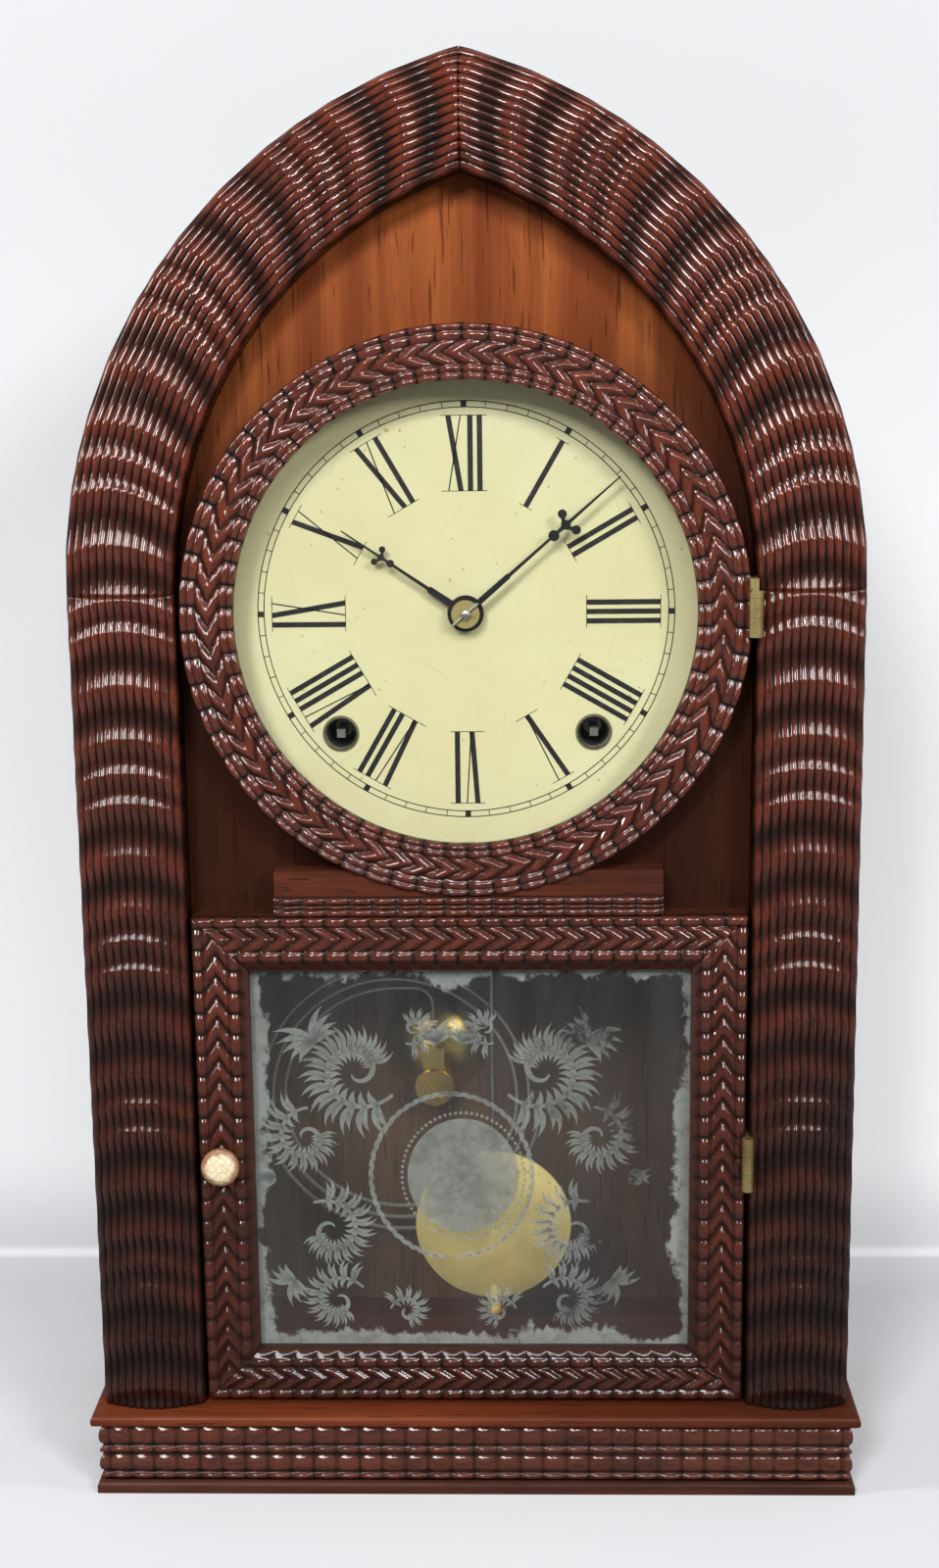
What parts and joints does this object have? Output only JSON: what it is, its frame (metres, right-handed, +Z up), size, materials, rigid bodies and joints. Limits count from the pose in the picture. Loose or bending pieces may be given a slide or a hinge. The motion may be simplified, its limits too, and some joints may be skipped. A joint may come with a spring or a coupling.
{
  "type": "beehive shelf clock",
  "caption": "Beehive shelf clock with a pointed-arch ripple-moulded wooden case, round painted dial, glazed door, spring movement and coiled gong",
  "frame": {"origin": "middle of the base, on the surface it stands on", "axes": "+X to the right as seen from the front, -Y out of the dial towards the viewer, +Z up"},
  "size_m": [0.2666, 0.1016, 0.4826],
  "materials": {
    "dark_wood": "old glossy varnish over dark red-brown veneer, black in the grooves",
    "warm_wood": "figured orange-brown veneer, glossy",
    "plain_wood": "bare secondary wood, matte",
    "brass": "lacquered, a little dull",
    "steel": "bright",
    "hand_black": "satin black",
    "dial_paint": "cream paint, satin",
    "clear_glass": "clear",
    "tablet_glass": "dark glass with frosted silver-grey scrolls",
    "knob_cream": "polished bone colour with a brown stained rim"
  },
  "bodies": {
    "case": {"base_plinth": "dark_wood", "base_core": "dark_wood", "base_ripple": "dark_wood", "base_ledge": "warm_wood", "side_wall_right": "dark_wood", "side_wall_left": "dark_wood", "backboard": "plain_wood", "front_panel": "warm_wood", "column_right": "dark_wood", "column_left": "dark_wood", "arch_right": "dark_wood", "arch_left": "dark_wood", "hinge_case_leaves": "brass", "dial_pan": "dial_paint", "winding_grommets": "brass", "front_plate": "brass", "back_plate": "brass", "plate_pillars": "brass", "movement_blocks": "plain_wood", "mainsprings": "steel", "pendulum_cock": "brass", "plate_studs": "steel", "gong_base": "brass", "gong_coil": "steel"},
    "door": {"hinge_door_leaves": "brass", "ring_frame": "dark_wood", "ring_moulding": "dark_wood", "dial_glass": "clear_glass", "bridge_block": "dark_wood", "bridge_ripple": "dark_wood", "door_frame": "dark_wood", "frame_mouldings": "dark_wood", "tablet_glass": "tablet_glass", "glazing_strips": "plain_wood"},
    "knob": {"door_knob": "knob_cream", "door_latch": "brass"},
    "centre": {"centre_wheel": "brass", "minute_hand": "hand_black", "hand_washer": "brass", "hand_pin": "steel"},
    "hour": {"hour_wheel": "brass", "hour_hand": "hand_black"},
    "minute_work": {"minute_wheel": "brass"},
    "time_main": {"time_main_wheel": "brass"},
    "time_winder": {"time_winding_arbor": "steel"},
    "time_second": {"time_second_wheel": "brass"},
    "time_fourth": {"time_fourth_wheel": "brass"},
    "escapement": {"escape_wheel": "brass"},
    "verge_body": {"verge": "steel"},
    "pendulum": {"pendulum_rod": "steel"},
    "bob": {"pendulum_bob": "brass"},
    "nut": {"rating_nut": "brass"},
    "strike_second": {"strike_second_wheel": "brass"},
    "strike_main": {"strike_main_wheel": "brass"},
    "strike_winder": {"strike_winding_arbor": "steel"},
    "pin_body": {"pin_wheel": "brass"},
    "warning": {"warning_wheel": "brass"},
    "fly_body": {"fly": "brass"},
    "hammer_body": {"hammer": "steel"}
  },
  "joints": [
    {"name": "door_swing", "type": "hinge", "parent": "case", "child": "door", "pos_m": [0.09385, -0.04415, 0.2137], "axis": [0, 0, 1], "range_deg": [0, 105]},
    {"name": "knob_turn", "type": "hinge", "parent": "door", "child": "knob", "pos_m": [-0.0852, -0.045, 0.1196], "axis": [0, 1, 0], "range_deg": [0, 90]},
    {"name": "centre_turn", "type": "hinge", "parent": "case", "child": "centre", "pos_m": [0, -0.01, 0.3058], "axis": [0, 1, 0], "continuous": true},
    {"name": "hour_turn", "type": "hinge", "parent": "case", "child": "hour", "pos_m": [0, -0.02, 0.3058], "axis": [0, 1, 0], "continuous": true},
    {"name": "minute_wheel_turn", "type": "hinge", "parent": "case", "child": "minute_work", "pos_m": [-0.00884, -0.014, 0.29696], "axis": [0, 1, 0], "continuous": true},
    {"name": "time_main_turn", "type": "hinge", "parent": "case", "child": "time_main", "pos_m": [0.0423, -0.007, 0.2655], "axis": [0, 1, 0], "continuous": true},
    {"name": "time_winding", "type": "hinge", "parent": "time_main", "child": "time_winder", "pos_m": [0.0423, 0.004, 0.2655], "axis": [0, 1, 0], "continuous": true},
    {"name": "time_second_turn", "type": "hinge", "parent": "case", "child": "time_second", "pos_m": [0.01543, 0.005, 0.28634], "axis": [0, 1, 0], "continuous": true},
    {"name": "time_fourth_turn", "type": "hinge", "parent": "case", "child": "time_fourth", "pos_m": [0.0177, 0.005, 0.31818], "axis": [0, 1, 0], "continuous": true},
    {"name": "escape_turn", "type": "hinge", "parent": "case", "child": "escapement", "pos_m": [0.007, 0, 0.3334], "axis": [0, 1, 0], "continuous": true},
    {"name": "verge_rock", "type": "hinge", "parent": "case", "child": "verge_body", "pos_m": [0.007, -0.015, 0.3508], "axis": [0, 1, 0], "range_deg": [-3.5, 3.5]},
    {"name": "pendulum_swing", "type": "hinge", "parent": "case", "child": "pendulum", "pos_m": [0.007, -0.019, 0.3508], "axis": [0, 1, 0], "range_deg": [-3.5, 3.5]},
    {"name": "bob_slide", "type": "slide", "parent": "pendulum", "child": "bob", "axis": [0, 0, 1], "range_m": [-0.003, 0.003]},
    {"name": "nut_turn", "type": "hinge", "parent": "bob", "child": "nut", "pos_m": [0.007, -0.019, 0.0537], "axis": [0, 0, 1], "range_deg": [-1350, 1350]},
    {"name": "strike_second_turn", "type": "hinge", "parent": "case", "child": "strike_second", "pos_m": [-0.0482, 0.005, 0.29898], "axis": [0, 1, 0], "continuous": true},
    {"name": "strike_main_turn", "type": "hinge", "parent": "case", "child": "strike_main", "pos_m": [-0.0423, -0.007, 0.2655], "axis": [0, 1, 0], "continuous": true},
    {"name": "strike_winding", "type": "hinge", "parent": "strike_main", "child": "strike_winder", "pos_m": [-0.0423, 0.004, 0.2655], "axis": [0, 1, 0], "continuous": true},
    {"name": "pin_wheel_turn", "type": "hinge", "parent": "case", "child": "pin_body", "pos_m": [-0.03881, 0.005, 0.31743], "axis": [0, 1, 0], "continuous": true},
    {"name": "warning_turn", "type": "hinge", "parent": "case", "child": "warning", "pos_m": [-0.02478, 0.005, 0.33097], "axis": [0, 1, 0], "continuous": true},
    {"name": "fly_turn", "type": "hinge", "parent": "case", "child": "fly_body", "pos_m": [-0.02164, 0.005, 0.34271], "axis": [0, 1, 0], "continuous": true},
    {"name": "hammer_lift", "type": "hinge", "parent": "case", "child": "hammer_body", "pos_m": [-0.046, 0.01, 0.3398], "axis": [0, -1, 0], "range_deg": [0, 6]}
  ],
  "couplings": [
    {"joint": "hour_turn", "follows": "centre_turn", "ratio": 0.083333},
    {"joint": "minute_wheel_turn", "follows": "centre_turn", "ratio": -0.33333},
    {"joint": "time_second_turn", "follows": "centre_turn", "ratio": -0.5},
    {"joint": "time_main_turn", "follows": "centre_turn", "ratio": 0.066667},
    {"joint": "time_fourth_turn", "follows": "centre_turn", "ratio": -9},
    {"joint": "escape_turn", "follows": "centre_turn", "ratio": 84},
    {"joint": "verge_rock", "follows": "pendulum_swing", "ratio": 1},
    {"joint": "strike_main_turn", "follows": "strike_second_turn", "ratio": -0.13333},
    {"joint": "pin_wheel_turn", "follows": "strike_second_turn", "ratio": -6.5},
    {"joint": "warning_turn", "follows": "strike_second_turn", "ratio": 78},
    {"joint": "fly_turn", "follows": "strike_second_turn", "ratio": -624},
    {"joint": "nut_turn", "follows": "bob_slide", "rad_per_m": 7853.9}
  ]
}
